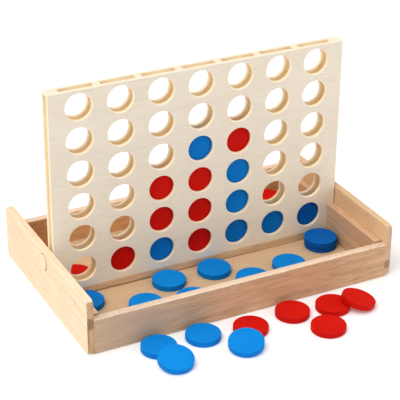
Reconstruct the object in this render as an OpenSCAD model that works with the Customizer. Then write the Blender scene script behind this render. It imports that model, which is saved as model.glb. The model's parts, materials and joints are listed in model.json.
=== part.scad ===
// Four in a row game: an upright two-sheet playing frame that stands in an open
// wooden tray, with its playing discs. The origin is the middle of the tray's
// underside, +X runs along the tray, +Y to its rear and +Z up.

/* [Playing grid] */
// Number of columns
columns = 7; // [7:1:8]
// Number of rows
rows = 6; // [6:1:7]
// Distance between the middles of two columns
column_pitch = 36; // [34:0.5:38]
// Diameter of the see-through holes
hole_d = 22.8; // [18:0.2:24]

/* [Playing frame] */
// Thickness of the front and the back sheet
sheet_t = 3; // [2:0.5:5]
// Depth of the space between the two sheets
core_t = 6; // [5.8:0.1:8]
// Height of the strip that closes the columns at the bottom
bottom_strip_h = 3; // [2:0.5:6]
// Sheet left above the topmost holes
top_margin = 3.3; // [2:0.1:10]
// Width of the solid post beside the first and last column
end_post_w = 6; // [4:0.5:10]
// Width of the grooved strip along each end of the frame
edge_strip_w = 5; // [4.5:0.5:8]
// Depth of the groove that runs on the guide pin
groove_depth = 4; // [3:0.1:4]
// Width of the cutter that made the groove
groove_w = 6.4; // [6.4:0.2:8]
// Distance from the top of the frame to the end of the groove
groove_stop = 2.5; // [2:0.5:20]

/* [Tray] */
// Thickness of the tall walls at the left and right
side_wall_t = 6; // [5.5:0.5:8]
// Height of the tall walls at the left and right
side_wall_h = 49; // [46:1:60]
// Radius of the corners of the tall walls
side_wall_corner = 5; // [2:0.5:8]
// Thickness of the front and back walls
long_wall_t = 6.5; // [5:0.5:8]
// Height of the front and back walls
long_wall_h = 31.8; // [28:0.2:33]
// Thickness of the floor panel
floor_t = 2.5; // [2:0.5:4]
// Height of the strip that the frame stands on, above the floor
sill_h = 7; // [4:0.5:10]
// Width of the rails inside the side walls
rail_w = 7; // [5:0.5:7]
// Height of the top of the rails
rail_top = 33; // [33:0.5:36]
// Gap between the frame and each side wall
end_gap = 0.7; // [0.5:0.1:1.5]
// Gap between the frame and the ends of the rails
slot_gap = 0.3; // [0.2:0.1:1]

/* [Guide pins] */
// Diameter of the pin's shank
pin_d = 5.4; // [4:0.1:5.6]
// Diameter of the pin's round head
pin_head_d = 13; // [10:0.5:16]
// Depth to which the head is let into the side wall
pin_head_sunk = 3; // [2:0.5:3.5]
// How far the head stands proud of the side wall
pin_head_proud = 1.2; // [0:0.1:2]
// How far the shank reaches into the tray
pin_reach = 4; // [3:0.1:4.2]

/* [Discs] */
// Diameter of a playing disc
disc_d = 29; // [27:0.1:29]
// Thickness of a playing disc
disc_t = 5.2; // [4:0.1:5.2]
// Size of the eased edge of a disc
disc_edge = 0.6; // [0.3:0.1:1]

/* [Hidden] */
$fn = 96;
EPS = 0.5;
SPACE = 0.3;
LEAN_STEPS = 12;

divider_w = 6;
channel_w = column_pitch - divider_w;
row_pitch = 29.1;
disc_r = disc_d / 2;
first_row_z = bottom_strip_h + row_pitch / 2 + 0.25;
grid_w = columns * channel_w + (columns - 1) * divider_w;
frame_w = grid_w + 2 * (end_post_w + edge_strip_w);
frame_t = 2 * sheet_t + core_t;
frame_h = first_row_z + (rows - 1) * row_pitch + hole_d / 2 + top_margin;
frame_z = floor_t + sill_h;
inner_w = frame_w + 2 * end_gap;
tray_w = inner_w + 2 * side_wall_t;
tray_d = frame_h;
inner_d = tray_d - 2 * long_wall_t;
rail_len = inner_d / 2 - frame_t / 2 - slot_gap;
pin_z = rail_top + frame_t / 2;
pin_fit = 0.05;

PALE_PLY = [0.89, 0.84, 0.76];
CORE_PLY = [0.86, 0.76, 0.58];
FLOOR_PLY = [0.88, 0.75, 0.57];
FRONT_WOOD = [0.80, 0.64, 0.50];
SIDE_WOOD = [0.95, 0.87, 0.74];
RAIL_WOOD = [0.85, 0.70, 0.52];
BLUE = [0.08, 0.46, 0.84];
RED = [0.85, 0.09, 0.06];

// The discs that stand in each column, from the bottom up.
COLUMN_STACKS = ["", "R", "BRR", "RRRB", "BBBR", "B", "B"];

// Discs that lie in the tray: name, colour, x, y and place in their pile.
TRAY_DISCS = [
    ["blue_disc_front_1", "B", -112.5, -21.5, 0],
    ["blue_disc_front_2", "B", -70.5, -47, 0],
    ["blue_disc_front_3", "B", -37, -21, 0],
    ["blue_disc_front_4", "B", -31.5, -55.5, 0],
    ["blue_disc_front_5", "B", 6, -21, 0],
    ["blue_disc_front_6", "B", 28.5, -49, 0],
    ["blue_disc_front_7", "B", 68, -42, 0],
    ["blue_disc_front_8", "B", 112.5, -21.5, 0],
    ["blue_disc_front_9", "B", 111.5, -22.5, 1],
    ["red_disc_rear_1", "R", -104.5, 22.5, 0],
    ["red_disc_rear_2", "R", 107.5, 66, 0],
    ["red_disc_rear_3", "R", 106, 65, 1]
];

// Discs on the table: name, colour, x, distance ahead of the tray, and the
// number in this list of the disc that they lean on, or -1 where they lie flat.
TABLE_DISCS = [
    ["blue_disc_table_1", "B", -87, 16, -1],
    ["blue_disc_table_2", "B", -48, 16.5, -1],
    ["blue_disc_table_3", "B", -84.5, 41.5, 0],
    ["blue_disc_table_4", "B", -24.5, 45, 5],
    ["red_disc_table_1", "R", 33.5, 18, -1],
    ["red_disc_table_2", "R", -8.5, 23.5, -1],
    ["red_disc_table_3", "R", 68.5, 24, -1],
    ["red_disc_table_4", "R", 48.5, 50, -1],
    ["red_disc_table_5", "R", 89.5, 30, 6]
];

function colour_word(letter) = letter == "R" ? "red" : "blue";
function stack_of(col) = col <= len(COLUMN_STACKS) ? COLUMN_STACKS[col - 1] : "";
function stacked_name(col, row) =
    str(colour_word(stack_of(col)[row - 1]), "_disc_col", col, "_row", row);

// Middle of a column, counted from the left.
function column_x(col) = (col - (columns + 1) / 2) * column_pitch;

// Height of a row's hole centres above the table.
function row_z(row) = frame_z + first_row_z + (row - 1) * row_pitch;

// Where a table disc's middle is in plan.
function table_xy(disc) = [disc[2], -tray_d / 2 - disc[3]];

// Tilt of a disc whose far edge rests on a neighbour's rim, at a given distance
// between their middles; each step starts from the last one's answer.
function lean_angle(apart, step = LEAN_STEPS) =
    step == 0 ? 0
    : let (last = lean_angle(apart, step - 1))
      atan((disc_t + SPACE) / (apart - disc_r + disc_r * cos(last) - disc_t / 2 * sin(last)));

// A box centred in X and Y on its position, standing on it in Z.
module block(size, at) {
    translate([at[0] - size[0] / 2, at[1] - size[1] / 2, at[2]])
        cube(size);
}

// A disc with eased edges, lying flat on Z = 0.
module disc_solid() {
    rotate_extrude()
        polygon([
            [0, 0],
            [disc_r - disc_edge, 0],
            [disc_r, disc_edge],
            [disc_r, disc_t - disc_edge],
            [disc_r - disc_edge, disc_t],
            [0, disc_t]
        ]);
}

module paint(letter) {
    color(letter == "R" ? RED : BLUE)
        children();
}

module tray_floor() {
    color(FLOOR_PLY)
        block([inner_w, inner_d, floor_t], [0, 0, 0]);
}

// The front wall is at side -1 and the back wall at side 1.
module long_wall(side) {
    color(FRONT_WOOD)
        block([inner_w, long_wall_t, long_wall_h], [0, side * (tray_d - long_wall_t) / 2, 0]);
}

module side_wall_outline() {
    reach = tray_d / 2 - side_wall_corner;
    translate([-tray_d / 2, side_wall_corner])
        square([tray_d, side_wall_h - 2 * side_wall_corner]);
    translate([-reach, 0])
        square([2 * reach, side_wall_h]);
    for (y = [-reach, reach], z = [side_wall_corner, side_wall_h - side_wall_corner])
        translate([y, z])
            circle(r = side_wall_corner);
}

// The left wall is at side -1 and the right wall at side 1.
module side_wall(side) {
    color(SIDE_WOOD)
        difference() {
            translate([side * (inner_w + side_wall_t) / 2 - side_wall_t / 2, 0, 0])
                rotate([90, 0, 90])
                    linear_extrude(height = side_wall_t)
                        side_wall_outline();
            translate([side * inner_w / 2, 0, pin_z])
                rotate([0, side * 90, 0]) {
                    translate([0, 0, -EPS])
                        cylinder(d = pin_d + 2 * pin_fit, h = side_wall_t + 2 * EPS);
                    translate([0, 0, side_wall_t - pin_head_sunk])
                        cylinder(d = pin_head_d + 2 * pin_fit, h = pin_head_sunk + EPS);
                }
        }
}

// A rail lies against a side wall, ahead of the frame's slot or behind it.
module rail(side, end) {
    color(RAIL_WOOD)
        block(
            [rail_w, rail_len, rail_top - floor_t],
            [side * (inner_w - rail_w) / 2, end * (inner_d - rail_len) / 2, floor_t]
        );
}

module sill_strip() {
    color(RAIL_WOOD)
        block([inner_w, frame_t, sill_h], [0, 0, floor_t]);
}

module guide_pin(side) {
    color(SIDE_WOOD)
        translate([side * inner_w / 2, 0, pin_z])
            rotate([0, side * 90, 0]) {
                translate([0, 0, -pin_reach])
                    cylinder(d = pin_d, h = pin_reach + side_wall_t - pin_head_sunk + EPS);
                translate([0, 0, side_wall_t - pin_head_sunk])
                    cylinder(d = pin_head_d, h = pin_head_sunk + pin_head_proud);
            }
}

// The front sheet is at side -1 and the back sheet at side 1.
module sheet(side) {
    color(PALE_PLY)
        difference() {
            block([frame_w, sheet_t, frame_h], [0, side * (core_t + sheet_t) / 2, frame_z]);
            for (col = [1:columns], row = [1:rows])
                translate([column_x(col), side * (core_t + sheet_t) / 2, row_z(row)])
                    rotate([90, 0, 0])
                        cylinder(d = hole_d, h = sheet_t + 2 * EPS, center = true);
        }
}

module divider(i) {
    color(CORE_PLY)
        block(
            [divider_w, core_t, frame_h - bottom_strip_h],
            [column_x(i) + column_pitch / 2, 0, frame_z + bottom_strip_h]
        );
}

module end_post(side) {
    color(CORE_PLY)
        block(
            [end_post_w, core_t, frame_h - bottom_strip_h],
            [side * (grid_w + end_post_w) / 2, 0, frame_z + bottom_strip_h]
        );
}

module bottom_strip() {
    color(CORE_PLY)
        block([grid_w + 2 * end_post_w, core_t, bottom_strip_h], [0, 0, frame_z]);
}

// The groove is open at the bottom and ends in a half round near the top.
module edge_strip(side) {
    groove_top = frame_z + frame_h - groove_stop - groove_w / 2;
    color(CORE_PLY)
        difference() {
            block(
                [edge_strip_w, core_t, frame_h],
                [side * (frame_w - edge_strip_w) / 2, 0, frame_z]
            );
            block(
                [2 * groove_depth, groove_w, groove_top - frame_z + EPS],
                [side * frame_w / 2, 0, frame_z - EPS]
            );
            translate([side * frame_w / 2, 0, groove_top])
                rotate([0, 90, 0])
                    cylinder(d = groove_w, h = 2 * groove_depth, center = true);
        }
}

module stacked_disc(col, row) {
    paint(stack_of(col)[row - 1])
        translate([column_x(col), disc_t / 2, row_z(row)])
            rotate([90, 0, 0])
                disc_solid();
}

module tray_disc(disc) {
    paint(disc[1])
        translate([disc[2], disc[3], floor_t + disc[4] * disc_t])
            disc_solid();
}

module table_disc(disc) {
    at = table_xy(disc);
    if (disc[4] < 0) {
        paint(disc[1])
            translate([at[0], at[1], 0])
                disc_solid();
    } else {
        towards = table_xy(TABLE_DISCS[disc[4]]) - at;
        tilt = lean_angle(norm(towards));
        core_r = disc_r - disc_edge;
        paint(disc[1])
            translate([at[0], at[1], max(
                core_r * sin(tilt) + disc_t / 2 * cos(tilt),
                disc_r * sin(tilt) + (disc_t / 2 - disc_edge) * cos(tilt)
            )])
                rotate([0, -tilt, atan2(towards[1], towards[0])])
                    translate([0, 0, -disc_t / 2])
                        disc_solid();
    }
}

tray_floor();
long_wall(-1);  // front_wall
long_wall(1);  // back_wall
side_wall(-1);  // left_side_wall
side_wall(1);  // right_side_wall
rail(-1, -1);  // front_left_rail
rail(1, -1);  // front_right_rail
rail(-1, 1);  // rear_left_rail
rail(1, 1);  // rear_right_rail
sill_strip();
guide_pin(-1);  // left_guide_pin
guide_pin(1);  // right_guide_pin
sheet(-1);  // front_sheet
sheet(1);  // back_sheet
end_post(-1);  // left_end_post
end_post(1);  // right_end_post
edge_strip(-1);  // left_edge_strip
edge_strip(1);  // right_edge_strip
bottom_strip();
for (i = [1:columns - 1])
    divider(i);
for (col = [1:columns], row = [1:1:len(stack_of(col))])
    stacked_disc(col, row);
for (disc = TRAY_DISCS)
    tray_disc(disc);
for (disc = TABLE_DISCS)
    table_disc(disc);
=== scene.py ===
"""Looks of a wooden four in a row game: frame, tray and painted discs.

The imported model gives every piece's place. Each class below builds one
sub-assembly's meshes around its nodes and dresses them in procedural wood,
plywood or paint. All lengths are in metres.
"""

import json
import logging
import math
import random
from dataclasses import dataclass, field
from enum import Enum

import bmesh
import bpy
import numpy as np
from mathutils import Matrix, Vector
from mathutils.geometry import delaunay_2d_cdt


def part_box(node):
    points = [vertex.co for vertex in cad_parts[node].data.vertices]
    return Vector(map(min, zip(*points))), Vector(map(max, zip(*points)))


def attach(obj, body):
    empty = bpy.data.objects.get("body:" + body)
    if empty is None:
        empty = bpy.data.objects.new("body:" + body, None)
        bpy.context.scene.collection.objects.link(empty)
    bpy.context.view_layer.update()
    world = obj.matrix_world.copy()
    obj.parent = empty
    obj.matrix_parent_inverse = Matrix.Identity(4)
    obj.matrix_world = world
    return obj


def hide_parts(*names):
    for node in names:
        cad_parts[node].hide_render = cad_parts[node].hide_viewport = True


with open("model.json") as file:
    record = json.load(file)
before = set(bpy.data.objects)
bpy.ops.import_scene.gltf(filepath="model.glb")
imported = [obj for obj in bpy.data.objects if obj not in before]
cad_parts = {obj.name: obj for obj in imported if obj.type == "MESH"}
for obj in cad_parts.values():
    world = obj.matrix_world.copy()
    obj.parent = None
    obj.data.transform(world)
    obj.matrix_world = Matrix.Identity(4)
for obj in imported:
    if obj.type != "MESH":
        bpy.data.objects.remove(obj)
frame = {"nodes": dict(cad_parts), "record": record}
LOG = logging.getLogger("four_in_a_row")

MM = 0.001
EDGE_MASK = "edge_mask"
PAINT_TONE_AND_SHADE = "paint_tone_and_shade"
FACING = 0.7  # a face whose normal's part along an axis is larger looks along that axis
FLAT = 0.99  # the same, for a face that lies square across it

Loop = list[tuple[float, float]]
Profile = list[tuple[float, float]]
Triple = tuple[float, float, float]
Colour = Triple
Node = bpy.types.Node
Socket = bpy.types.NodeSocket
Tree = bpy.types.NodeTree


class Axis(Enum):
    """An axis of the row frame, such as the one that a piece's grain runs along."""

    X = 0
    Y = 1
    Z = 2


class Face(Enum):
    """Which material slot of a piece a face of its mesh takes."""

    MAIN = 0
    EDGE = 1
    INNER = 2
    HOLE = 3


# --- Outlines and meshes ---------------------------------------------------


def quarter_turn(steps: int) -> list[float]:
    """Angles from nothing to a right angle, in even steps."""
    return [0.5 * math.pi * k / steps for k in range(steps + 1)]


def box_middle(node: str) -> Vector:
    """The middle of a node's box."""
    low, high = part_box(node)
    return (low + high) / 2.0


def rounded_rectangle(
    low: tuple[float, float], high: tuple[float, float], radius: float, steps: int
) -> Loop:
    """An anticlockwise rectangle with round corners.

    Args:
        low: Lowest corner.
        high: Highest corner.
        radius: Radius of the corners.
        steps: Straight steps in each corner.

    Returns:
        The outline's points.
    """
    points: Loop = []
    corners = [
        (high[0] - radius, high[1] - radius, 0.0),
        (low[0] + radius, high[1] - radius, 0.5 * math.pi),
        (low[0] + radius, low[1] + radius, math.pi),
        (high[0] - radius, low[1] + radius, 1.5 * math.pi),
    ]
    for u, v, start in corners:
        for turn in quarter_turn(steps):
            points.append((u + radius * math.cos(start + turn), v + radius * math.sin(start + turn)))
    return points


def hole_outline(middle: tuple[float, float], radius: float, steps: int = 64) -> Loop:
    """A clockwise circle, so that the wood lies on the left of its outline.

    Args:
        middle: Centre of the hole.
        radius: Radius of the hole.
        steps: Straight steps round the hole.

    Returns:
        The outline's points.
    """
    turns = [-2.0 * math.pi * k / steps for k in range(steps)]
    return [(middle[0] + radius * math.cos(t), middle[1] + radius * math.sin(t)) for t in turns]


def inset(loop: Loop, distance: float) -> Loop:
    """Moves an outline into the wood on its left, keeping its corners mitred.

    Args:
        loop: The outline.
        distance: How far it moves.

    Returns:
        The moved outline.
    """
    points = np.array(loop)
    ahead = np.roll(points, -1, axis=0) - points
    ahead /= np.linalg.norm(ahead, axis=1, keepdims=True)
    after = np.stack([-ahead[:, 1], ahead[:, 0]], axis=1)
    before = np.roll(after, 1, axis=0)
    share = 1.0 + (after * before).sum(axis=1, keepdims=True)
    moved = points + distance * (after + before) / share
    return [(float(u), float(v)) for u, v in moved]


def eased_profile(
    thickness: float, ease: float, upper_ease: float | None = None, steps: int = 3
) -> Profile:
    """The cross-section of a plate's rim with both edges rounded over.

    Args:
        thickness: Thickness of the plate.
        ease: Radius of the round-over of the lower face's edge.
        upper_ease: The same for the upper face, if it differs.
        steps: Straight steps in each round-over.

    Returns:
        Pairs of inset and height, from the lower face to the upper one.
    """
    arc = [(1.0 - math.sin(t), 1.0 - math.cos(t)) for t in quarter_turn(steps)]
    top = ease if upper_ease is None else upper_ease
    lower = [(ease * u, ease * w) for u, w in arc]
    return lower + [(top * u, thickness - top * w) for u, w in reversed(arc)]


@dataclass
class Rim:
    """One outline of a plate and the cross-section that runs round it."""

    loop: Loop
    profile: Profile
    face: Face = Face.EDGE

    def rings(self) -> list[tuple[Loop, float, float]]:
        """Follows the profile round the outline.

        Returns:
            The outline at each step of the profile, its height and how exposed its edge is.
        """
        widest = max(u for u, _ in self.profile) or 1.0
        return [(inset(self.loop, u), w, math.sin(math.pi * u / widest)) for u, w in self.profile]


@dataclass
class Plate:
    """A flat piece of wood cut from an outline, with holes and eased rims."""

    rims: list[Rim]
    across: Axis
    base: float

    def place(self, u: float, v: float, w: float) -> Vector:
        """Places a point of the plate in the row frame.

        Args:
            u: Its place along the first axis of the outline.
            v: Its place along the second one.
            w: Its height over the base.

        Returns:
            The point.
        """
        if self.across is Axis.X:
            return Vector((self.base + w, u, v))
        if self.across is Axis.Y:
            return Vector((u, self.base + w, v))
        return Vector((u, v, self.base + w))

    def build(self, name: str) -> bpy.types.Mesh:
        """Makes the closed mesh.

        Args:
            name: Name of the mesh.

        Returns:
            The mesh, whose rims use Face.EDGE and whose two caps use Face.MAIN.
        """
        made = bmesh.new()
        worn_and_lit_layer = made.verts.layers.float.new(EDGE_MASK)
        caps: list[list[list[bmesh.types.BMVert]]] = [[], []]
        flat: list[list[Loop]] = [[], []]
        for rim in self.rims:
            verts = []
            rings = rim.rings()
            for loop, height, worn_and_lit in rings:
                ring = [made.verts.new(self.place(u, v, height)) for u, v in loop]
                for vert in ring:
                    vert[worn_and_lit_layer] = worn_and_lit
                verts.append(ring)
            for lower, upper in zip(verts, verts[1:]):
                for k in range(len(lower)):
                    n = (k + 1) % len(lower)
                    side = made.faces.new((lower[k], lower[n], upper[n], upper[k]))
                    side.material_index = rim.face.value
            for cap, end in ((0, 0), (1, -1)):
                caps[cap].append(verts[end])
                flat[cap].append(rings[end][0])
        for cap in (0, 1):
            self._close(made, caps[cap], flat[cap])
        bmesh.ops.recalc_face_normals(made, faces=made.faces)
        return finished_mesh(made, name)

    def _close(
        self, made: bmesh.types.BMesh, rings: list[list[bmesh.types.BMVert]], loops: list[Loop]
    ) -> None:
        """Fills one face of the plate between its outline and its holes.

        Args:
            made: The mesh being made.
            rings: The corner points of each outline.
            loops: The same outlines in the plate's own plane.
        """
        points: list[Vector] = []
        owners: list[bmesh.types.BMVert] = []
        edges: list[tuple[int, int]] = []
        for ring, loop in zip(rings, loops):
            first = len(points)
            points += [Vector(p) for p in loop]
            owners += ring
            edges += [(first + k, first + (k + 1) % len(loop)) for k in range(len(loop))]
        _, _, triangles, sources, _, _ = delaunay_2d_cdt(points, edges, [], 1, 1e-9)
        for triangle in triangles:
            corners = [sources[k][0] for k in triangle]
            middle = sum((points[k] for k in corners), Vector((0.0, 0.0))) / 3.0
            if any(inside(middle, loop) for loop in loops[1:]):
                continue
            face = made.faces.new([owners[k] for k in corners])
            face.material_index = Face.MAIN.value


def inside(point: Vector, loop: Loop) -> bool:
    """Tells whether a point lies within an outline.

    Args:
        point: The point in the plate's plane.
        loop: The outline.

    Returns:
        True if it does.
    """
    odd = False
    for (u1, v1), (u2, v2) in zip(loop, loop[1:] + loop[:1]):
        spans = (v1 > point.y) != (v2 > point.y)
        if spans and point.x < u1 + (u2 - u1) * (point.y - v1) / (v2 - v1):
            odd = not odd
    return odd


def finished_mesh(made: bmesh.types.BMesh, name: str) -> bpy.types.Mesh:
    """Turns a bmesh into a smooth-shaded mesh and frees it.

    Args:
        made: The bmesh.
        name: Name of the mesh.

    Returns:
        The mesh.
    """
    mesh = bpy.data.meshes.new(name)
    made.to_mesh(mesh)
    made.free()
    mesh.shade_smooth()
    return mesh


def turned_mesh(name: str, outline: Profile, steps: int, ease: float) -> bpy.types.Mesh:
    """Turns an outline round the Z axis, as on a lathe.

    Args:
        name: Name of the mesh.
        outline: Pairs of radius and height from the bottom's middle to the top's.
        steps: Straight steps round the axis.
        ease: Radius of the round-over, which says how far the edge's rubbing and painted highlight reach.

    Returns:
        The closed mesh.
    """
    made = bmesh.new()
    worn_and_lit_layer = made.verts.layers.float.new(EDGE_MASK)
    widest = max(r for r, _ in outline)
    low = min(h for _, h in outline)
    high = max(h for _, h in outline)
    turns = [2.0 * math.pi * k / steps for k in range(steps)]
    rings: list[list[bmesh.types.BMVert]] = []
    for radius, height in outline:
        if radius == 0.0:
            rings.append([made.verts.new((0.0, 0.0, height))])
            continue
        ring = [made.verts.new((radius * math.cos(t), radius * math.sin(t), height)) for t in turns]
        from_side = (widest - radius) / ease
        from_end = min(height - low, high - height) / ease
        for vert in ring:
            vert[worn_and_lit_layer] = max(0.0, 1.0 - max(from_side, from_end))
        rings.append(ring)
    for lower, upper in zip(rings, rings[1:]):
        for k in range(steps):
            spots = ((lower, k), (lower, k + 1), (upper, k + 1), (upper, k))
            corners = [ring[spot % len(ring)] for ring, spot in spots]
            made.faces.new(list(dict.fromkeys(corners)))
    bmesh.ops.recalc_face_normals(made, faces=made.faces)
    return finished_mesh(made, name)


def box_plate(node: str, across: Axis, corner: float, ease: float) -> Plate:
    """A plate that fills a node's box, with every edge eased.

    Args:
        node: Name of the node.
        across: Axis of the plate's thickness.
        corner: Radius of the corners of its outline.
        ease: Radius of the round-over between its rim and its two faces.

    Returns:
        The plate.
    """
    low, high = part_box(node)
    u, v = [axis.value for axis in Axis if axis is not across]
    outline = rounded_rectangle((low[u], low[v]), (high[u], high[v]), corner, 4)
    profile = eased_profile(high[across.value] - low[across.value], ease)
    return Plate([Rim(outline, profile)], across, low[across.value])


# --- Shader graphs ---------------------------------------------------------


class Graph:
    """A small writer of shader nodes over one node tree."""

    def __init__(self, tree: Tree) -> None:
        """Takes the tree to write in."""
        self.tree = tree

    def add(self, kind: str, sockets: dict[int | str, object] | None = None, **settings: object) -> Node:
        """Adds a node.

        Args:
            kind: The node's type without its ShaderNode prefix.
            sockets: Values or links for its inputs, by name or number.
            **settings: The node's own settings.

        Returns:
            The node.
        """
        made = self.tree.nodes.new("ShaderNode" + kind)
        for key, value in settings.items():
            setattr(made, key, value)
        self.feed(made, sockets or {})
        return made

    def feed(self, node: Node, sockets: dict[int | str, object]) -> None:
        """Links or sets a node's inputs.

        Args:
            node: The node.
            sockets: Values or links for its inputs, by name or number.
        """
        for key, value in sockets.items():
            if isinstance(value, Socket):
                self.tree.links.new(value, node.inputs[key])
            else:
                node.inputs[key].default_value = value

    def math(self, operation: str, a: object, b: object = 0.0, clamp: bool = False) -> Socket:
        """The result of a Math node."""
        return self.add("Math", {0: a, 1: b}, operation=operation, use_clamp=clamp).outputs[0]

    def plus(self, value: object, other: object, share: object, clamp: bool = False) -> Socket:
        """A value plus a share of another one."""
        return self.math("ADD", value, self.math("MULTIPLY", other, share), clamp)

    def vector(self, operation: str, a: object, b: object = (0.0, 0.0, 0.0)) -> Node:
        """A Vector Math node."""
        return self.add("VectorMath", {0: a, 1: b}, operation=operation)

    def blend(self, share: object, under: Socket, over: Colour) -> Socket:
        """A share of a colour laid over another one."""
        return self.add("Mix", {0: share, 6: under, 7: (*over, 1.0)}, data_type="RGBA").outputs[2]

    def noise(
        self, place: Socket, along: float, across: float, detail: float = 2.0, rough: float = 0.5
    ) -> Socket:
        """A noise that can be drawn out along X, as fibres are.

        Args:
            place: The vector that it varies with.
            along: How many lumps it has to the metre along X.
            across: The same across it.
            detail: How many finer layers it has.
            rough: How strong each finer layer is.

        Returns:
            The value.
        """
        drawn = self.vector("MULTIPLY", place, (along, across, across)).outputs[0]
        sockets = {"Vector": drawn, "Scale": 1.0, "Detail": detail, "Roughness": rough}
        return self.add("TexNoise", sockets).outputs[0]

    def ramp(self, value: object, low: float, high: float) -> Socket:
        """A value's smooth step from low to high."""
        sockets = {"Value": value, "From Min": low, "From Max": high}
        return self.add("MapRange", sockets, interpolation_type="SMOOTHSTEP").outputs[0]

    def put_out(self, **values: Socket) -> Tree:
        """Ends a node group with one plain output for each value.

        Args:
            **values: The values, by the names of the outputs.

        Returns:
            The group.
        """
        for key in values:
            self.tree.interface.new_socket(key, in_out="OUTPUT", socket_type="NodeSocketFloat")
        self.feed(self.tree.nodes.new("NodeGroupOutput"), values)
        return self.tree


def new_group(name: str, inputs: dict[str, float | None]) -> tuple[Graph, dict[str, Socket]]:
    """Starts a shader node group.

    Args:
        name: Name of the group.
        inputs: Default of each input: a number, or None for a vector.

    Returns:
        The group's graph and its input sockets by name.
    """
    tree = bpy.data.node_groups.new(name, "ShaderNodeTree")
    for key, value in inputs.items():
        kind = "NodeSocketVector" if value is None else "NodeSocketFloat"
        made = tree.interface.new_socket(key, in_out="INPUT", socket_type=kind)
        if value is not None:
            made.default_value = value
    entry = tree.nodes.new("NodeGroupInput")
    return Graph(tree), {socket.name: socket for socket in entry.outputs if socket.name}


def wood_grain_group() -> Tree:
    """Growth rings, streaks, fibres and pores of sawn wood, with X along the grain.

    Returns:
        The group: Ring, Streak, Fibre, Pore, Blotch and Height, each from 0 to 1.
    """
    graph, enter = new_group("wood_grain", {"Vector": None, "Ring": 0.004, "Warp": 0.5})
    place = enter["Vector"]
    drift = graph.noise(place, 7.0, 38.0, 3.0)
    parts = graph.add("SeparateXYZ", {0: place})
    flat = graph.add("CombineXYZ", {"Y": parts.outputs[1], "Z": parts.outputs[2]})
    radius = graph.vector("LENGTH", flat.outputs[0]).outputs["Value"]
    count = graph.math("DIVIDE", radius, enter["Ring"])
    saw = graph.math("FRACT", graph.plus(count, drift, graph.math("MULTIPLY", enter["Warp"], 14.0)))
    fall = graph.math("SUBTRACT", 1.0, graph.ramp(saw, 0.9, 1.0))
    ring = graph.math("MULTIPLY", graph.ramp(saw, 0.15, 0.86), fall)
    streak = graph.ramp(graph.noise(place, 11.0, 300.0, 5.0, 0.72), 0.36, 0.68)
    fibre = graph.noise(place, 70.0, 1900.0, 2.0, 0.6)
    pore = graph.ramp(graph.noise(place, 75.0, 1250.0, 2.0, 0.6), 0.52, 0.66)
    blotch = graph.noise(place, 14.0, 30.0, 3.0)
    raised = graph.plus(graph.math("MULTIPLY", fibre, 0.5), ring, 0.2)
    height = graph.math("SUBTRACT", raised, pore)
    return graph.put_out(Ring=ring, Streak=streak, Fibre=fibre, Pore=pore, Blotch=blotch, Height=height)


def ply_layers_group() -> Tree:
    """Veneers of a plywood edge, stacked along X, with their glue lines.

    Returns:
        The group: Cross is 1 in every second veneer, Glue is 1 on a glue line.
    """
    graph, enter = new_group("ply_layers", {"Vector": None, "Veneer": 0.001, "Wander": 0.05})
    place = enter["Vector"]
    sway = graph.math("SUBTRACT", graph.noise(place, 90.0, 90.0), 0.5)
    parts = graph.add("SeparateXYZ", {0: place})
    count = graph.math("DIVIDE", parts.outputs[0], enter["Veneer"])
    phase = graph.math("PINGPONG", graph.plus(count, sway, enter["Wander"]), 1.0)
    cross = graph.ramp(phase, 0.5, 0.7)
    near = graph.math("ABSOLUTE", graph.math("SUBTRACT", phase, 0.5))
    glue = graph.math("SUBTRACT", 1.0, graph.ramp(near, 0.02, 0.12))
    return graph.put_out(Cross=cross, Glue=glue, Fibre=graph.noise(place, 1800.0, 700.0))


def edge_wear_and_highlight_group() -> Tree:
    """Rubbing on edges, with a painted highlight where rounded edges catch the light, broken up by noise.

    Returns:
        The group: its one output is 1 where an edge takes its full colour of rubbing and painted
            highlight.
    """
    graph, enter = new_group("edge_wear_and_highlight", {"Vector": None, "Edge": 0.0, "Amount": 0.5})
    patches = graph.math("SUBTRACT", graph.noise(enter["Vector"], 160.0, 160.0, 3.0), 0.5)
    reach = graph.math("ADD", enter["Edge"], patches)
    worn_and_lit = graph.math("MULTIPLY", graph.ramp(reach, 0.3, 0.95), enter["Amount"], clamp=True)
    return graph.put_out(Worn=worn_and_lit)


def brushed_paint_group() -> Tree:
    """Uneven sprayed paint over the wood's fibres.

    Returns:
        The group: Tone wanders slowly from piece to piece, Speckle is fine, Fibre shows the
        grain through the paint, and Height is for bumps.
    """
    graph, enter = new_group("brushed_paint", {"Vector": None})
    place = enter["Vector"]
    tone = graph.noise(place, 34.0, 34.0)
    speckle = graph.noise(place, 900.0, 900.0)
    fibre = graph.ramp(graph.noise(place, 110.0, 1000.0, 3.0, 0.6), 0.42, 0.68)
    height = graph.plus(graph.math("MULTIPLY", speckle, 0.6), fibre, -0.4)
    return graph.put_out(Tone=tone, Speckle=speckle, Fibre=fibre, Height=height)


def smudge_group() -> Tree:
    """A soft-edged spot of colour, such as a knot or a mineral streak.

    Returns:
        The group: Mask is 1 at the spot's middle and 0 outside of it.
    """
    graph, enter = new_group("smudge", {"Vector": None, "Centre": None, "Size": None})
    offset = graph.vector("SUBTRACT", enter["Vector"], enter["Centre"])
    scaled = graph.vector("DIVIDE", offset.outputs[0], enter["Size"])
    reach = graph.vector("LENGTH", scaled.outputs[0]).outputs["Value"]
    ragged = graph.math("SUBTRACT", graph.noise(enter["Vector"], 420.0, 420.0, 3.0), 0.5)
    away = graph.math("ADD", reach, ragged)
    return graph.put_out(Mask=graph.math("SUBTRACT", 1.0, graph.ramp(away, 0.45, 1.0)))


# --- Finishes --------------------------------------------------------------


@dataclass(frozen=True)
class Mark:
    """A spot of another colour, placed by its share of the piece's box along X, Y and Z."""

    at: Triple
    size: Triple
    colour: Colour
    strength: float = 0.6


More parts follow.
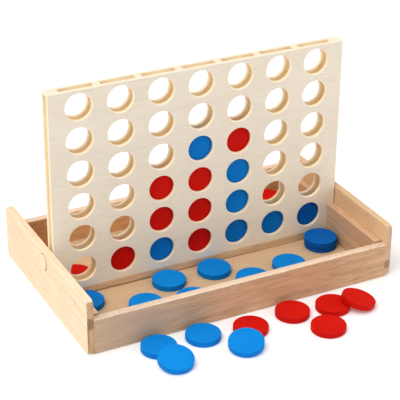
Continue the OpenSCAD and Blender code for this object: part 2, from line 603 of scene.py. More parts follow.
@dataclass(frozen=True)
class Site:
    """The box of the piece that a material is made for."""

    low: Triple
    high: Triple

    def point(self, share: Triple) -> tuple[float, ...]:
        """The point at a share of the way along each side of the box."""
        return tuple(a + (b - a) * t for a, b, t in zip(self.low, self.high, share))


@dataclass
class Effects:
    """The node groups that the finishes share, each built once."""

    grain: Tree = field(default_factory=wood_grain_group)
    layers: Tree = field(default_factory=ply_layers_group)
    wear_and_highlight: Tree = field(default_factory=edge_wear_and_highlight_group)
    paint: Tree = field(default_factory=brushed_paint_group)
    smudge: Tree = field(default_factory=smudge_group)


def fresh_material(name: str) -> tuple[bpy.types.Material, Graph, Node]:
    """Makes a material with a lone Principled shader.

    Args:
        name: Name of the material.

    Returns:
        The material, its graph and the shader.
    """
    made = bpy.data.materials.new(name)
    made.use_nodes = True
    made.node_tree.nodes.clear()
    graph = Graph(made.node_tree)
    shader = graph.add("BsdfPrincipled")
    graph.add("OutputMaterial", {"Surface": shader.outputs[0]})
    return made, graph, shader


def along_grain(graph: Graph, axis: Axis, heart: tuple[float, float]) -> Socket:
    """Object coordinates turned so that X runs along the grain.

    Args:
        graph: The material's graph.
        axis: The axis that the grain runs along.
        heart: Where the tree's heart lies across the grain.

    Returns:
        The vector.
    """
    place = graph.add("TexCoord").outputs["Object"]
    parts = graph.add("SeparateXYZ", {0: place})
    order = [axis.value] + [other.value for other in Axis if other is not axis]
    turned = graph.add("CombineXYZ", {k: parts.outputs[n] for k, n in enumerate(order)})
    return graph.vector("SUBTRACT", turned.outputs[0], (0.0, *heart)).outputs[0]


def use_group(graph: Graph, tree: Tree, **sockets: object) -> Node:
    """Adds a shared node group and sets its inputs.

    Args:
        graph: The material's graph.
        tree: The group.
        **sockets: Values or links for its inputs, by name.

    Returns:
        The group's node.
    """
    made = graph.add("Group", node_tree=tree)
    graph.feed(made, sockets)
    return made


def with_worn_and_lit_edges(graph: Graph, effects: Effects, colour: Socket, bare: Colour, amount: float) -> Socket:
    """Lightens a colour where the piece's edges are rounded: partly rubbing, partly a painted highlight
    where they catch the light.

    Args:
        graph: The material's graph.
        effects: The shared node groups.
        colour: The colour.
        bare: The colour of an edge's rubbing and painted highlight.
        amount: How far the edge's colour shows.

    Returns:
        The new colour.
    """
    place = graph.add("TexCoord").outputs["Object"]
    edge = graph.add("Attribute", attribute_name=EDGE_MASK).outputs["Fac"]
    worn_and_lit = use_group(graph, effects.wear_and_highlight, Vector=place, Edge=edge, Amount=amount)
    return graph.blend(worn_and_lit.outputs[0], colour, bare)


def dress_shader(
    graph: Graph, shader: Node, colour: Socket, rough: Socket, shine: float, height: Socket, depth: float
) -> None:
    """Feeds the shader.

    Args:
        graph: The material's graph.
        shader: The Principled shader.
        colour: Its colour.
        rough: Its roughness.
        shine: Its specular level.
        height: The height of its bumps, from 0 to 1.
        depth: How deep the bumps are.
    """
    bump = graph.add("Bump", {"Strength": 1.0, "Distance": depth, "Height": height})
    graph.feed(
        shader,
        {
            "Base Color": colour,
            "Roughness": rough,
            "Specular IOR Level": shine,
            "Normal": bump.outputs[0],
        },
    )


@dataclass(frozen=True)
class WoodFinish:
    """Clear-lacquered solid wood.

    Its rings lie round the tree's heart, whose place is given across the grain. The shares
    rings, streaks, pores, blotches and fibres say how strongly each of them darkens the wood.
    """

    name: str
    light: Colour
    dark: Colour
    grain: Axis
    heart: tuple[float, float] = (0.09, -0.07)
    ring: float = 0.0035
    warp: float = 0.5
    rings: float = 0.35
    streaks: float = 0.45
    pores: float = 0.25
    blotches: float = 0.3
    roughness: float = 0.42
    wear_and_highlight: float = 0.35
    edge: Colour | None = None
    marks: tuple[Mark, ...] = ()
    # Painted light: a lighter colour laid over the piece's lower part, fading out upwards, where less
    # light reaches it.
    painted_light_foot: Colour | None = None
    painted_light_foot_rise: float = 0.115
    painted_light_foot_strength: float = 0.8
    fibres: float = 0.16
    pore_shade: float = 0.55
    shine: float = 0.3
    bumps: float = 0.04 * MM

    def material(self, effects: Effects, site: Site) -> bpy.types.Material:
        """Builds the material.

        Args:
            effects: The shared node groups.
            site: The piece that it is for.

        Returns:
            The material.
        """
        made, graph, shader = fresh_material(self.name)
        place = along_grain(graph, self.grain, self.heart)
        grain = use_group(graph, effects.grain, Vector=place, Ring=self.ring, Warp=self.warp).outputs
        tone = graph.plus(graph.math("MULTIPLY", grain["Ring"], self.rings), grain["Streak"], self.streaks)
        uneven = graph.math("SUBTRACT", grain["Blotch"], 0.5)
        tone = graph.plus(tone, uneven, 2.0 * self.blotches, clamp=True)
        colour = graph.blend(tone, (*self.light, 1.0), self.dark)
        # Painted light on the lower part of the piece, fading out upwards.
        if self.painted_light_foot is not None:
            colour = graph.blend(self.painted_light_foot_share(graph, site), colour, self.painted_light_foot)
        deep = tuple(self.pore_shade * c for c in self.dark)
        colour = graph.blend(graph.math("MULTIPLY", grain["Pore"], self.pores), colour, deep)
        colour = graph.blend(graph.math("MULTIPLY", grain["Fibre"], self.fibres), colour, self.dark)
        for mark in self.marks:
            colour = self.marked(graph, effects, colour, mark, site)
        # Rounded edges are lightened: partly rubbing, partly a painted highlight where they catch the
        # light.
        bright = self.edge or tuple(min(1.0, 1.12 * c + 0.03) for c in self.light)
        colour = with_worn_and_lit_edges(graph, effects, colour, bright, self.wear_and_highlight)
        rough = graph.plus(self.roughness, grain["Streak"], 0.12)
        dress_shader(graph, shader, colour, rough, self.shine, grain["Height"], self.bumps)
        return made

    def painted_light_foot_share(self, graph: Graph, site: Site) -> Socket:
        """How far the painted light on the piece's lower part shows: it fades out upwards.

        Args:
            graph: The material's graph.
            site: The piece that it is on.

        Returns:
            The share, from 0 to the strength of the painted light.
        """
        place = graph.add("TexCoord").outputs["Object"]
        height = graph.add("SeparateXYZ", {0: place}).outputs[2]
        risen = graph.ramp(height, site.low[2], site.low[2] + self.painted_light_foot_rise)
        return graph.math("MULTIPLY", graph.math("SUBTRACT", 1.0, risen), self.painted_light_foot_strength)

    def marked(self, graph: Graph, effects: Effects, colour: Socket, mark: Mark, site: Site) -> Socket:
        """Lays a mark over the wood's colour.

        Args:
            graph: The material's graph.
            effects: The shared node groups.
            colour: The wood's colour.
            mark: The mark.
            site: The piece that it is on.

        Returns:
            The new colour.
        """
        place = graph.add("TexCoord").outputs["Object"]
        centre = site.point(mark.at)
        spot = use_group(graph, effects.smudge, Vector=place, Centre=centre, Size=mark.size)
        share = graph.math("MULTIPLY", spot.outputs["Mask"], mark.strength)
        return graph.blend(share, colour, mark.colour)


@dataclass(frozen=True)
class PlyEdgeFinish:
    """The sawn and sanded edge of plywood.

    The shares cross, glue and fibres say how strongly each of them darkens the wood.
    """

    name: str
    light: Colour
    dark: Colour
    stack: Axis
    veneer: float = 0.001
    cross: float = 0.45
    glue: float = 0.35
    fibres: float = 0.15
    roughness: float = 0.6
    wear_and_highlight: float = 0.0
    shine: float = 0.25
    bumps: float = 0.03 * MM

    def material(self, effects: Effects, site: Site) -> bpy.types.Material:
        """Builds the material.

        Args:
            effects: The shared node groups.
            site: The piece that it is for, which doesn't change this finish.

        Returns:
            The material.
        """
        made, graph, shader = fresh_material(self.name)
        place = along_grain(graph, self.stack, (0.0, 0.0))
        layers = use_group(graph, effects.layers, Vector=place, Veneer=self.veneer).outputs
        tone = graph.plus(graph.math("MULTIPLY", layers["Cross"], self.cross), layers["Glue"], self.glue)
        tone = graph.plus(tone, layers["Fibre"], self.fibres, clamp=True)
        colour = graph.blend(tone, (*self.light, 1.0), self.dark)
        # The rounded rims are lightened to a cream painted highlight, with some rubbing.
        colour = with_worn_and_lit_edges(graph, effects, colour, RIM_HIGHLIGHT, self.wear_and_highlight)
        rough = graph.plus(self.roughness, layers["Cross"], 0.15)
        dress_shader(graph, shader, colour, rough, self.shine, layers["Fibre"], self.bumps)
        return made


@dataclass(frozen=True)
class PaintFinish:
    """Satin paint over a turned wooden disc.

    It wanders at random from its colour to its shade. Each disc's own tone and its painted shade, read
    from a mesh attribute, bring it nearer to its deep tone.
    """

    name: str
    colour: Colour
    shade: Colour
    deep: Colour
    # Colour of the rounded edges: some rubbing with a painted highlight.
    rubbed_and_highlit: Colour
    fibres: float = 0.16
    roughness: float = 0.5
    wear_and_highlight: float = 0.12
    shine: float = 0.06
    bumps: float = 0.04 * MM

    def material(self, effects: Effects, site: Site) -> bpy.types.Material:
        """Builds the material.

        Args:
            effects: The shared node groups.
            site: The piece that it is for, which doesn't change this finish.

        Returns:
            The material.
        """
        made, graph, shader = fresh_material(self.name)
        place = graph.add("TexCoord").outputs["Object"]
        paint = use_group(graph, effects.paint, Vector=place).outputs
        tone = graph.ramp(graph.plus(paint["Tone"], paint["Speckle"], 0.25), 0.35, 0.95)
        colour = graph.blend(tone, (*self.colour, 1.0), self.shade)
        colour = graph.blend(graph.math("MULTIPLY", paint["Fibre"], self.fibres), colour, self.deep)
        # The attribute holds each disc's random tone plus painted shade: on its sides, in the frame's
        # holes and in shaded spots.
        tone_and_shade = graph.add("Attribute", attribute_name=PAINT_TONE_AND_SHADE).outputs["Fac"]
        colour = graph.blend(tone_and_shade, colour, self.deep)
        # The discs' rounded edges are lightened: partly rubbing, partly a painted highlight.
        colour = with_worn_and_lit_edges(graph, effects, colour, self.rubbed_and_highlit, self.wear_and_highlight)
        rough = graph.plus(self.roughness, paint["Speckle"], 0.12)
        dress_shader(graph, shader, colour, rough, self.shine, paint["Height"], self.bumps)
        return made


Finish = WoodFinish | PlyEdgeFinish | PaintFinish


# Painted highlight on the rounded rims of the frame's sheets and their holes, where they catch the light.
RIM_HIGHLIGHT = (0.98, 0.88, 0.77)
# Painted highlight along the top of the front and back walls, where the light falls on them from above.
TOP_HIGHLIGHT = (0.93, 0.74, 0.57)
KNOT_BROWN = (0.20, 0.095, 0.04)

FRONT_WOOD = WoodFinish(
    "front_wall_wood", (0.71, 0.435, 0.250), (0.43, 0.240, 0.122), Axis.X,
    heart=(-0.13, 0.02), ring=0.0034, warp=0.42, rings=0.30, streaks=0.42, pores=0.38, blotches=0.34,
    # Its cream rounded edges are a painted highlight along with some rubbing.
    edge=(0.97, 0.84, 0.68), wear_and_highlight=0.9,
    marks=(
        # painted highlight along the wall's top
        Mark((0.3, 0.5, 1.0), (0.28, 0.02, 0.0016), TOP_HIGHLIGHT, 0.7),
        Mark((0.05, 0.0, 0.45), (0.09, 0.02, 0.03), (0.48, 0.36, 0.27), 0.55),
        Mark((0.945, 0.0, 0.40), (0.005, 0.01, 0.0011), KNOT_BROWN, 0.4),
        Mark((0.90, 0.0, 0.16), (0.008, 0.01, 0.0012), KNOT_BROWN, 0.35),
    ),
)
BACK_WOOD = WoodFinish(
    "back_wall_wood", (0.85, 0.51, 0.26), (0.62, 0.33, 0.15), Axis.X,
    heart=(0.14, -0.03), ring=0.0038, warp=0.4, rings=0.35, streaks=0.5, pores=0.5,
    # Its light rounded edges are a painted highlight along with some rubbing.
    edge=(0.95, 0.76, 0.62), wear_and_highlight=0.8,
    marks=(
        # Painted shade at the left end of the wall's inner face, where the left side wall shades it.
        Mark((0.0, 0.0, 0.4), (0.05, 0.02, 0.05), (0.46, 0.22, 0.09), 0.7),
        # painted highlight along the wall's top
        Mark((0.5, 0.5, 1.0), (0.6, 0.02, 0.0016), TOP_HIGHLIGHT, 0.6),
    ),
)
LEFT_WOOD = WoodFinish(
    "left_side_wood", (0.95, 0.735, 0.51), (0.84, 0.56, 0.33), Axis.Y,
    heart=(-0.22, -0.06), ring=0.007, warp=0.5, rings=0.25, streaks=0.4, pores=0.25, blotches=0.3,
    marks=(Mark((0.0, 0.13, 0.74), (0.004, 0.0032, 0.0026), (0.78, 0.42, 0.32), 0.5),),
)
RIGHT_WOOD = WoodFinish(
    "right_side_wood", (0.86, 0.585, 0.345), (0.70, 0.43, 0.23), Axis.Y,
    heart=(0.22, -0.09), ring=0.008, warp=0.4, rings=0.25, streaks=0.4, pores=0.25,
)
LEFT_END = WoodFinish(
    "left_end_grain", (0.62, 0.385, 0.216), (0.43, 0.25, 0.13), Axis.Z,
    heart=(-0.10, -0.05), ring=0.003, warp=0.3, rings=0.2, streaks=0.2, pores=0.5, wear_and_highlight=0.3, roughness=0.6,
    marks=(
        Mark((0.45, 0.0, 0.58), (0.006, 0.01, 0.0072), KNOT_BROWN, 0.7),
        Mark((0.1, 0.0, 0.25), (0.002, 0.01, 0.016), KNOT_BROWN, 0.4),
    ),
)
RIGHT_END = WoodFinish(
    "right_end_grain", (0.68, 0.45, 0.30), (0.50, 0.30, 0.19), Axis.Z,
    heart=(0.10, -0.05), ring=0.003, warp=0.3, rings=0.2, streaks=0.2, pores=0.5, wear_and_highlight=0.3, roughness=0.6,
    marks=(Mark((0.4, 0.0, 0.24), (0.005, 0.01, 0.0054), KNOT_BROWN, 0.65),),
)
PLAIN_END = WoodFinish(
    "plain_end_grain", (0.62, 0.42, 0.27), (0.40, 0.24, 0.14), Axis.Z,
    ring=0.002, warp=0.4, rings=0.5, streaks=0.3, pores=0.6, wear_and_highlight=0.2, roughness=0.6,
)
RAIL_WOOD = WoodFinish(
    "rail_wood", (0.755, 0.485, 0.29), (0.54, 0.31, 0.17), Axis.Y,
    heart=(0.1, -0.05), ring=0.007, warp=0.4, rings=0.3, streaks=0.45, pores=0.3,
    edge=(0.88, 0.66, 0.46), wear_and_highlight=0.7,
    marks=(Mark((0.5, 0.5, 0.86), (0.02, 0.4, 0.011), (0.90, 0.68, 0.50), 0.75),),
)
SILL_WOOD = WoodFinish(
    "sill_wood", (0.82, 0.58, 0.37), (0.60, 0.38, 0.21), Axis.X,
    heart=(-0.12, -0.05), ring=0.004, warp=0.4, rings=0.3, streaks=0.6, pores=0.4,
)
FLOOR_WOOD = WoodFinish(
    "floor_veneer", (0.72, 0.50, 0.30), (0.58, 0.38, 0.20), Axis.X,
    heart=(0.1, -0.35), ring=0.012, warp=0.7, rings=0.2, streaks=0.22, pores=0.16, blotches=0.3,
)
# The sheets' lower part takes a warmer, lighter painted light, fading out upwards.
SHEET_WOOD = WoodFinish(
    "sheet_veneer", (0.84, 0.75, 0.62), (0.73, 0.63, 0.49), Axis.X,
    heart=(0.4, -0.3), ring=0.012, warp=0.8, rings=0.14, streaks=0.22, pores=0.12, blotches=0.3,
    roughness=0.5, edge=RIM_HIGHLIGHT, wear_and_highlight=0.5, painted_light_foot=(0.98, 0.88, 0.70),
)
INNER_WOOD = WoodFinish(
    "sheet_inner_veneer", (0.99, 0.81, 0.54), (0.93, 0.70, 0.42), Axis.X,
    heart=(0.4, -0.3), ring=0.012, warp=0.8, rings=0.2, streaks=0.3,
    roughness=0.55, edge=RIM_HIGHLIGHT, wear_and_highlight=0.5,
)
CORE_WOOD = WoodFinish(
    "core_wood", (0.97, 0.84, 0.60), (0.86, 0.66, 0.41), Axis.Z,
    heart=(0.3, -0.2), ring=0.005, warp=0.3, rings=0.25, streaks=0.35, roughness=0.55,
)
PIN_WOOD = WoodFinish(
    "pin_wood", (0.96, 0.79, 0.55), (0.84, 0.62, 0.39), Axis.X,
    heart=(0.02, -0.03), ring=0.0016, warp=0.2, rings=0.4, streaks=0.2, pores=0.5,
)
SHEET_EDGE = PlyEdgeFinish("sheet_edge", (0.95, 0.84, 0.66), (0.80, 0.62, 0.42), Axis.Y, wear_and_highlight=0.6)
HOLE_EDGE = PlyEdgeFinish("hole_edge", (0.99, 0.81, 0.54), (0.93, 0.70, 0.42), Axis.Y, wear_and_highlight=1.0)
CORE_EDGE = PlyEdgeFinish("core_edge", (0.98, 0.90, 0.76), (0.76, 0.54, 0.34), Axis.X, 0.0011, cross=0.75)
STRIP_EDGE = PlyEdgeFinish("strip_edge", (0.96, 0.86, 0.70), (0.88, 0.74, 0.55), Axis.X, cross=0.2)
BLUE_PAINT = PaintFinish(
    "blue_paint", (0.002, 0.262, 0.75), (0.001, 0.225, 0.67), (0.001, 0.088, 0.39), (0.01, 0.32, 0.82)
)
RED_PAINT = PaintFinish(
    "red_paint", (0.68, 0.009, 0.004), (0.60, 0.005, 0.002), (0.42, 0.002, 0.001), (0.80, 0.04, 0.03)
)


# --- The object's pieces ---------------------------------------------------


@dataclass
class Workshop:
    """Turns meshes into finished pieces of the object, on the body of their node."""

    effects: Effects = field(default_factory=Effects)
    made: dict[str, bpy.types.Material] = field(default_factory=dict)

    def material(self, finish: Finish, node: str) -> bpy.types.Material:
        """Gives a finish's material, which the first piece that asks for it builds.

        Args:
            finish: The finish.
            node: Name of the node that asks.

        Returns:
            The material.
        """
        if finish.name not in self.made:
            low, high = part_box(node)
            self.made[finish.name] = finish.material(self.effects, Site(tuple(low), tuple(high)))
        return self.made[finish.name]

    def body_of(self, node: str) -> str:
        """The CAD body that holds a node."""
        bodies = frame["record"]["behaviour"]["bodies"]
        return next(body for body, nodes in bodies.items() if node in nodes)

    def finish(self, node: str, mesh: bpy.types.Mesh, *finishes: Finish) -> None:
        """Puts a piece in the scene in place of its CAD node.

        Args:
            node: Name of the node that the piece stands for.
            mesh: The piece's mesh, in the row frame.
            *finishes: Its finishes, in the order of its material slots.
        """
        piece = bpy.data.objects.new(f"{node}_finished", mesh)
        bpy.context.scene.collection.objects.link(piece)
        for finish in finishes:
            mesh.materials.append(self.material(finish, node))
        weighted = piece.modifiers.new("even_normals", "WEIGHTED_NORMAL")
        weighted.mode = "FACE_AREA"
        weighted.weight = 80
        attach(piece, self.body_of(node))
        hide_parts(node)
        LOG.info("%s rides on %s", piece.name, self.body_of(node))


def mark_faces(mesh: bpy.types.Mesh, along: Axis, ends: Face, others: Face) -> None:
    """Sets each face's material slot by whether it looks along an axis.

    Args:
        mesh: The mesh.
        along: The axis.
        ends: The slot of the faces that look along it.
        others: The slot of the other faces.
    """
    for face in mesh.polygons:
        looks = abs(face.normal[along.value]) > FACING
        face.material_index = (ends if looks else others).value


@dataclass
class PlayingFrame:
    """Two plywood sheets with round holes, and the strips between them."""

    shop: Workshop
    hole_radius: float = 11.4 * MM
    hole_ease: float = 0.75 * MM
    sheet_ease: float = 0.4 * MM
    strip_ease: float = 0.25 * MM
    groove_depth: float = 4.0 * MM
    groove_radius: float = 3.2 * MM
    groove_stop: float = 2.5 * MM
    groove_steps: int = 16
    columns: int = 7
    rows: int = 6

    def holes(self) -> list[tuple[float, float]]:
        """Spaces the holes as the dividers stand and as the discs lie on each other.

        Returns:
            The middle of each hole, in X and Z.
        """
        middle = box_middle("front_sheet").x
        pitch = box_middle("divider_2").x - box_middle("divider_1").x
        lowest = box_middle("red_disc_col4_row1").z
        rise = box_middle("red_disc_col4_row2").z - lowest
        spots = []
        for col in range(self.columns):
            across = middle + (col - (self.columns - 1) / 2.0) * pitch
            spots += [(across, lowest + row * rise) for row in range(self.rows)]
        return spots

    def sheet(self, node: str, inwards: int) -> None:
        """Builds one perforated sheet.

        Args:
            node: Name of the node.
            inwards: 1 if the core lies behind the sheet, -1 if it lies in front.
        """
        low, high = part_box(node)
        thickness = high.y - low.y
        outline = rounded_rectangle((low.x, low.z), (high.x, high.z), 1.5 * self.sheet_ease, 3)
        rims = [Rim(outline, eased_profile(thickness, self.sheet_ease))]
        for spot in self.holes():
            hole = hole_outline(spot, self.hole_radius)
            rims.append(Rim(hole, eased_profile(thickness, self.hole_ease, steps=4), Face.HOLE))
        mesh = Plate(rims, Axis.Y, low.y).build(node)
        for face in mesh.polygons:
            if face.normal.y * inwards > FLAT:
                face.material_index = Face.INNER.value
        self.shop.finish(node, mesh, SHEET_WOOD, SHEET_EDGE, INNER_WOOD, HOLE_EDGE)

    def strip(self, node: str) -> None:
        """Builds one strip of the core, with the veneers showing at its ends.

        Args:
            node: Name of the node.
        """
        mesh = box_plate(node, Axis.Z, 1.5 * self.strip_ease, self.strip_ease).build(node)
        mark_faces(mesh, Axis.Z, Face.EDGE, Face.MAIN)
        self.shop.finish(node, mesh, CORE_WOOD, CORE_EDGE)

    def groove_end(self, node: str) -> Loop:
        """The round end of an edge strip's groove, near the frame's top.

        Args:
            node: Name of the strip's node.

        Returns:
            Points of the arch in Y and Z, from the front to the back.
        """
        low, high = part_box(node)
        radius = self.groove_radius
        crown = high.z - self.groove_stop - radius
        reach = math.acos((high.y - low.y) / 2.0 / radius)
        span = math.pi - 2.0 * reach
        turns = [reach + span * k / self.groove_steps for k in range(self.groove_steps, -1, -1)]
        middle = box_middle(node).y
        return [(middle + radius * math.cos(t), crown + radius * math.sin(t)) for t in turns]

    def edge_strip(self, node: str, side: int) -> None:
        """Builds a grooved end strip, whose groove ends in a half round near the top.

        Args:
            node: Name of the node.
            side: -1 for the left strip, 1 for the right one.
        """
        low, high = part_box(node)
        ease = self.strip_ease
        depth = self.groove_depth
        web_low = low.x + depth if side < 0 else low.x
        web_high = high.x if side < 0 else high.x - depth
        web = rounded_rectangle((low.y, low.z), (high.y, high.z), 1.5 * ease, 2)
        web_mesh = Plate([Rim(web, eased_profile(web_high - web_low, ease))], Axis.X, web_low).build(node)
        stop = [(high.y, high.z), (low.y, high.z)] + self.groove_end(node)
        stop_low = low.x if side < 0 else web_high - ease
        stop_mesh = Plate([Rim(stop, [(0.0, 0.0), (0.0, depth + ease)])], Axis.X, stop_low).build(node)
        made = bmesh.new()
        made.from_mesh(web_mesh)
        made.from_mesh(stop_mesh)
        mesh = finished_mesh(made, node)
        mark_faces(mesh, Axis.Z, Face.EDGE, Face.MAIN)
        self.shop.finish(node, mesh, CORE_WOOD, STRIP_EDGE)

    def build(self) -> None:
        """Builds every piece of the frame."""
        self.sheet("front_sheet", 1)
        self.sheet("back_sheet", -1)
        dividers = [f"divider_{k}" for k in range(1, self.columns)]
        for node in ["left_end_post", "right_end_post", "bottom_strip", *dividers]:
            self.strip(node)
        self.edge_strip("left_edge_strip", -1)
        self.edge_strip("right_edge_strip", 1)


@dataclass
class StorageTray:
    """The open tray: walls, floor, rails, sill and the two guide pins."""

    shop: Workshop
    wall_ease: float = 1.3 * MM
    side_ease: float = 1.2 * MM
    inner_ease: float = 0.4 * MM
    side_corner: float = 5.0 * MM
    rail_ease: float = 0.8 * MM
    sill_ease: float = 0.6 * MM
    sill_warp: float = 1.2 * MM
    floor_ease: float = 0.3 * MM
    end_ease: float = 0.12 * MM
    bore_radius: float = 2.75 * MM
    sink_radius: float = 7.0 * MM
    sink_depth: float = 3.0 * MM
    sink_lip: float = 0.3 * MM
    shank_radius: float = 2.7 * MM
    head_ease: float = 0.5 * MM
    head_depth: float = 4.2 * MM

    def side_wall(self, node: str, side: int, finish: WoodFinish, end: WoodFinish) -> None:
        """Builds a tall wall with round corners and the sunk bore of its guide pin.

        Args:
            node: Name of the node.
            side: -1 for the left wall, 1 for the right one.
            finish: Its wood.
            end: The end grain of its two ends.
        """
        low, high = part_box(node)
        thickness = high.x - low.x
        outline = rounded_rectangle((low.y, low.z), (high.y, high.z), self.side_corner, 8)
        pin = box_middle(node.replace("side_wall", "guide_pin"))
        step = self.sink_radius - self.bore_radius
        lip = self.sink_lip
        bore = [
            (0.0, 0.0),
            (0.0, thickness - self.sink_depth),
            (step, thickness - self.sink_depth),
            (step, thickness - lip),
            (step + lip, thickness),
        ]
        eases = (self.inner_ease, self.side_ease)
        if side < 0:
            bore = [(u, thickness - w) for u, w in reversed(bore)]
            eases = (self.side_ease, self.inner_ease)
        rims = [
            Rim(outline, eased_profile(thickness, *eases, steps=4)),
            Rim(hole_outline((pin.y, pin.z), self.bore_radius, 48), bore),
        ]
        mesh = Plate(rims, Axis.X, low.x).build(node)
        mark_faces(mesh, Axis.Y, Face.EDGE, Face.MAIN)
        self.shop.finish(node, mesh, finish, end)

    def batten(self, node: str, ease: float, finish: WoodFinish) -> None:
        """Builds a board with eased long edges and square ends of end grain.

        Args:
            node: Name of the node.
            ease: Radius of its long edges.
            finish: Its wood, whose grain runs along it.
        """
        mesh = box_plate(node, finish.grain, ease, self.end_ease).build(node)
        self.expose_corners(node, mesh, finish.grain, ease)
        mark_faces(mesh, finish.grain, Face.EDGE, Face.MAIN)
        self.shop.finish(node, mesh, finish, PLAIN_END)

    def expose_corners(self, node: str, mesh: bpy.types.Mesh, along: Axis, ease: float) -> None:
        """Marks a board's rounded long edges for rubbing and a painted highlight, and nothing else of it.

        Args:
            node: Name of the node.
            mesh: Its mesh.
            along: Axis that its long edges run along.
            ease: Radius of its long edges.
        """
        low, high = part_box(node)
        mask = mesh.attributes[EDGE_MASK].data
        across = [axis.value for axis in Axis if axis is not along]
        for vert in mesh.vertices:
            gap = max(min(vert.co[k] - low[k], high[k] - vert.co[k]) for k in across)
            mask[vert.index].value = max(0.0, 1.0 - gap / ease)

    def sill(self, node: str) -> None:
        """Builds the sill strip, a little warped so that the lower edge of its left half stands off the
        floor.

        Args:
            node: Name of the node.
        """
        middle = box_middle(node)
        mesh = box_plate(node, Axis.X, self.sill_ease, self.end_ease).build(node)
        self.expose_corners(node, mesh, Axis.X, self.sill_ease)
        for vert in mesh.vertices:
            if vert.co.x < middle.x and vert.co.z < middle.z:
                vert.co.z += self.sill_warp
        mark_faces(mesh, Axis.X, Face.EDGE, Face.MAIN)
        self.shop.finish(node, mesh, SILL_WOOD, PLAIN_END)

    def pin(self, node: str, side: int) -> None:
        """Turns one guide pin, its head outwards.

        Args:
            node: Name of the node.
            side: -1 for the left pin, 1 for the right one.
        """
        low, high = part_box(node)
        length = high.x - low.x
        neck = length - self.head_depth
        head = (high.z - low.z) / 2.0
        shank = self.shank_radius
        ease = self.head_ease
        arc = [(ease * math.cos(t), ease * math.sin(t)) for t in quarter_turn(5)]
        outline = [(0.0, 0.0)]
        outline += [(shank - ease + r, ease - h) for r, h in reversed(arc)]
        outline += [(shank, neck), (head - ease / 2.0, neck), (head, neck + ease / 2.0)]
        outline += [(head - ease + r, length - ease + h) for r, h in arc]
        outline += [(head / 2.0, length), (0.0, length)]
        mesh = turned_mesh(node, outline, 64, ease)
        inner = box_middle(node)
        inner.x = high.x if side < 0 else low.x
        turn = Matrix.Rotation(side * math.pi / 2.0, 4, "Y")
        mesh.transform(Matrix.Translation(inner) @ turn)
        self.shop.finish(node, mesh, PIN_WOOD)

    def build(self) -> None:
        """Builds every piece of the tray."""
        self.batten("tray_floor", self.floor_ease, FLOOR_WOOD)
        self.batten("front_wall", self.wall_ease, FRONT_WOOD)
        self.batten("back_wall", self.wall_ease, BACK_WOOD)
        self.side_wall("left_side_wall", -1, LEFT_WOOD, LEFT_END)
        self.side_wall("right_side_wall", 1, RIGHT_WOOD, RIGHT_END)
        for rail in ("front_left_rail", "front_right_rail", "rear_left_rail", "rear_right_rail"):
            self.batten(rail, self.rail_ease, RAIL_WOOD)
        self.sill("sill_strip")
        self.pin("left_guide_pin", -1)
        self.pin("right_guide_pin", 1)


@dataclass
class DiscSet:
    """The painted discs, in the frame, in the tray and on the table."""

    shop: Workshop
    radius: float = 14.5 * MM
    thickness: float = 5.2 * MM
    ease: float = 0.65 * MM
    steps: int = 96
    hollow: float = 0.04 * MM
    # Painted shade: the discs' sides, the discs that stand in the frame's holes and the discs listed
    # below, which lie in shaded spots, are darkened towards the deep tone. The two spreads are random tone
    # of each disc's own.
    side_shade: float = 0.3
    standing_shade: dict[str, float] = field(default_factory=lambda: {"blue": 0.42, "red": 0.2})
    standing_spread: float = 0.15
    lying_spread: float = 0.12
    painted_shade: dict[str, float] = field(
        default_factory=lambda: {
            "blue_disc_front_1": 0.3,
            "blue_disc_front_8": 0.8,
            "blue_disc_front_9": 0.8,
            "blue_disc_col7_row1": 0.85,
        }
    )

    def tone_and_shade(self, node: str) -> float:
        """How far a disc's paint is darkened towards its deep tone, from 0 to 1: a random tone of its own,
        plus painted shade for the discs that stand in the frame and for the listed discs in shaded spots.

        Args:
            node: Name of the disc's node.

        Returns:
            The tone with its painted shade.
        """
        if node in self.painted_shade:
            return self.painted_shade[node]
        own = random.Random(node).random()
        if "_col" in node:
            return self.standing_shade[node.split("_")[0]] + self.standing_spread * own
        return self.lying_spread * own

    def outline(self) -> Profile:
        """The disc's half section, its edges rounded over and its faces a hair hollow.

        Returns:
            Pairs of radius and height.
        """
        half = self.thickness / 2.0
        rim = self.radius - self.ease
        arc = [(self.ease * math.cos(t), self.ease * math.sin(t)) for t in quarter_turn(5)]
        upper = [(rim + r, half - self.ease + h) for r, h in arc]
        upper += [(0.93 * rim, half), (0.5 * rim, half - 0.75 * self.hollow), (0.0, half - self.hollow)]
        return [(r, -h) for r, h in reversed(upper)] + upper

    def pose(self, node: str) -> Matrix:
        """Where a disc's CAD node lies and how it leans.

        Args:
            node: Name of the node.

        Returns:
            The matrix from a disc lying flat at the origin.
        """
        points = np.array([v.co[:] for v in frame["nodes"][node].data.vertices])
        corners = np.unique(np.round(points, 6), axis=0)
        middle = (corners.max(axis=0) + corners.min(axis=0)) / 2.0
        _, turns = np.linalg.eigh(np.cov((corners - middle).T))
        normal = Vector(turns[:, 0])
        if normal.z < -1e-6 or (abs(normal.z) < 1e-6 and normal.y > 0.0):
            normal = -normal
        return Matrix.Translation(Vector(middle)) @ normal.to_track_quat("Z", "Y").to_matrix().to_4x4()

    def build(self) -> None:
        """Builds every disc that the frame names."""
        belt = self.thickness / 2.0 - 0.9 * self.ease
        nodes = [part["node"] for part in frame["record"]["subparts"] if "_disc_" in part["node"]]
        for node in nodes:
            mesh = turned_mesh(node, self.outline(), self.steps, self.ease)
            tone_and_shade = self.tone_and_shade(node)
            # Painted shade: the side band of each disc is darkened more than its faces.
            tones_and_shade = [tone_and_shade + self.side_shade * (abs(vert.co.z) < belt) for vert in mesh.vertices]
            mesh.transform(self.pose(node))
            mesh.attributes.new(PAINT_TONE_AND_SHADE, "FLOAT", "POINT").data.foreach_set("value", tones_and_shade)
            self.shop.finish(node, mesh, RED_PAINT if node.startswith("red") else BLUE_PAINT)


# --- The studio ------------------------------------------------------------


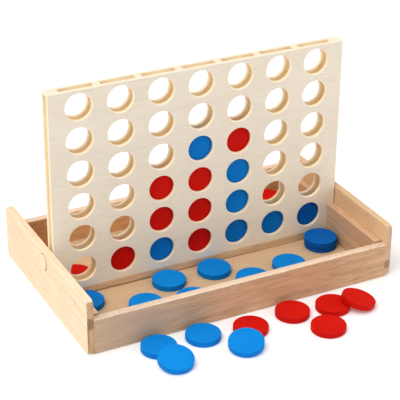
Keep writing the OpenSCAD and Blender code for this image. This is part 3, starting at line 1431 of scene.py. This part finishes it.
@dataclass(frozen=True)
class Lamp:
    """A square soft light."""

    name: str
    place: Triple
    size: float
    power: float

    def hang(self, target: Triple) -> None:
        """Hangs the light.

        Args:
            target: The point that it looks at.
        """
        light = bpy.data.lights.new(self.name, "AREA")
        light.size = self.size
        light.energy = self.power
        lamp = bpy.data.objects.new(self.name, light)
        lamp.location = self.place
        lamp.rotation_mode = "QUATERNION"
        lamp.rotation_quaternion = (Vector(self.place) - Vector(target)).to_track_quat("Z", "Y")
        bpy.context.scene.collection.objects.link(lamp)


@dataclass
class Studio:
    """A pale floor, soft light from the upper left, and the camera."""

    azimuth: float = -27.393
    elevation: float = 27.567
    roll: float = 0.583
    distance: float = 1.2114
    target: Triple = (-0.00055, -0.0061, 0.0666)
    lens: float = 129.07
    sky: float = 0.4
    floor_glow: float = 0.12
    floor_radius: float = 9.0
    floor_gap: float = 0.2 * MM
    lamps: tuple[Lamp, ...] = (
        Lamp("key_light", (-2.0, -0.95, 3.2), 2.2, 76.0),
        Lamp("rear_light", (-1.5, 1.9, 2.6), 1.8, 34.0),
        Lamp("top_light", (0.5, 0.2, 3.4), 2.2, 24.0),
        Lamp("front_light", (0.75, -1.1, 0.45), 0.8, 3.6),
    )

    def floor(self) -> None:
        """Lays the pale floor just under the object."""
        made = bmesh.new()
        bmesh.ops.create_circle(made, cap_ends=True, segments=64, radius=self.floor_radius)
        floor = bpy.data.objects.new("floor", finished_mesh(made, "floor"))
        floor.location.z = -self.floor_gap
        bpy.context.scene.collection.objects.link(floor)
        pale, graph, shader = fresh_material("pale_floor")
        graph.feed(
            shader,
            {
                "Base Color": (0.93, 0.93, 0.93, 1.0),
                "Roughness": 0.9,
                "Specular IOR Level": 0.1,
                "Emission Color": (1.0, 1.0, 1.0, 1.0),
                "Emission Strength": self.floor_glow,
            },
        )
        floor.data.materials.append(pale)

    def sky_light(self) -> None:
        """Lights the scene evenly from all round."""
        world = bpy.data.worlds.new("studio")
        world.use_nodes = True
        background = world.node_tree.nodes["Background"]
        background.inputs["Color"].default_value = (1.0, 1.0, 1.0, 1.0)
        background.inputs["Strength"].default_value = self.sky
        bpy.context.scene.world = world

    def camera(self) -> None:
        """Sets the camera, turned by its small roll."""
        azimuth, elevation, roll = (math.radians(x) for x in (self.azimuth, self.elevation, self.roll))
        level = math.cos(elevation)
        back = Vector((math.sin(azimuth) * level, -math.cos(azimuth) * level, math.sin(elevation)))
        right = (-back).cross(Vector((0.0, 0.0, 1.0))).normalized()
        up = right.cross(-back)
        turned = right * math.cos(roll) + up * math.sin(roll)
        upright = up * math.cos(roll) - right * math.sin(roll)
        looks = Matrix((turned, upright, back)).transposed().to_4x4()
        camera = bpy.data.objects.new("camera", bpy.data.cameras.new("camera"))
        camera.data.lens = self.lens
        camera.matrix_world = Matrix.Translation(Vector(self.target) + back * self.distance) @ looks
        bpy.context.scene.collection.objects.link(camera)
        bpy.context.scene.camera = camera

    def build(self) -> None:
        """Sets up the whole studio."""
        self.floor()
        self.sky_light()
        for lamp in self.lamps:
            lamp.hang(self.target)
        self.camera()
        bpy.context.scene.view_settings.view_transform = "Standard"


def main() -> None:
    """Builds the object and the studio."""
    logging.basicConfig(level=logging.INFO)
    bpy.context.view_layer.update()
    shop = Workshop()
    for assembly in (StorageTray(shop), PlayingFrame(shop), DiscSet(shop)):
        assembly.build()
        LOG.info("built %s", type(assembly).__name__)
    Studio().build()


if __name__ == "__main__":
    main()
